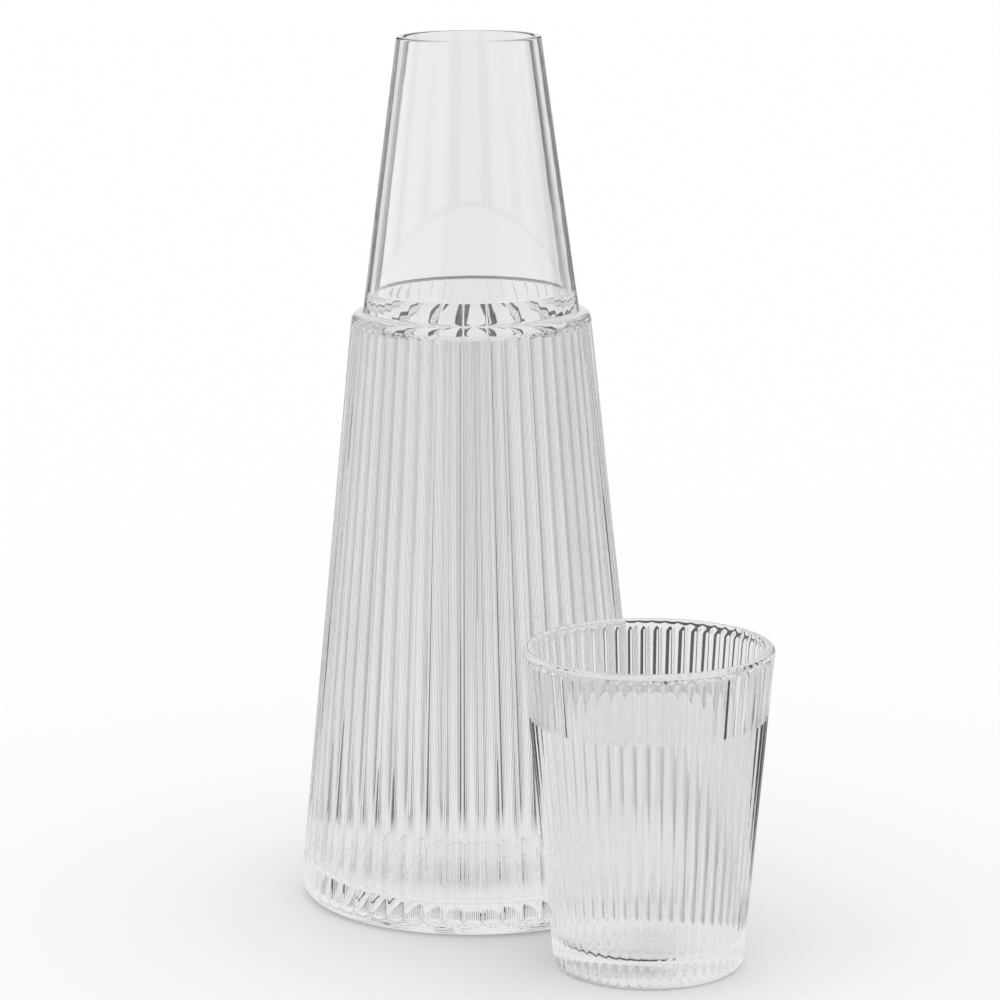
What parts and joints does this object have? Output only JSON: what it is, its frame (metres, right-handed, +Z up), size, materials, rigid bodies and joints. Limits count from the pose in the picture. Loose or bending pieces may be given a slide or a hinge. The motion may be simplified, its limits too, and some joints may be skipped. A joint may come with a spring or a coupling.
{
  "type": "bedside carafe with tumbler",
  "caption": "Clear fluted glass carafe with a plain conical neck, beside the fluted tumbler that turns upside down over the neck to cover it.",
  "frame": {"origin": "centre of the carafe's base, on the surface that both pieces stand on", "axes": "+Z up along the carafe's axis; the tumbler stands towards +X and -Y, at the front right"},
  "size_m": [0.1437, 0.1714, 0.27],
  "materials": {
    "carafe_glass": "clear, polished",
    "tumbler_glass": "clear, polished"
  },
  "bodies": {
    "carafe": {"carafe": "carafe_glass"},
    "tumbler": {"tumbler": "tumbler_glass"}
  },
  "joints": [
    {"name": "tumbler_lift", "type": "slide", "parent": "carafe", "child": "tumbler", "axis": [0, 0, 1], "range_m": [0, 0.285]}
  ]
}
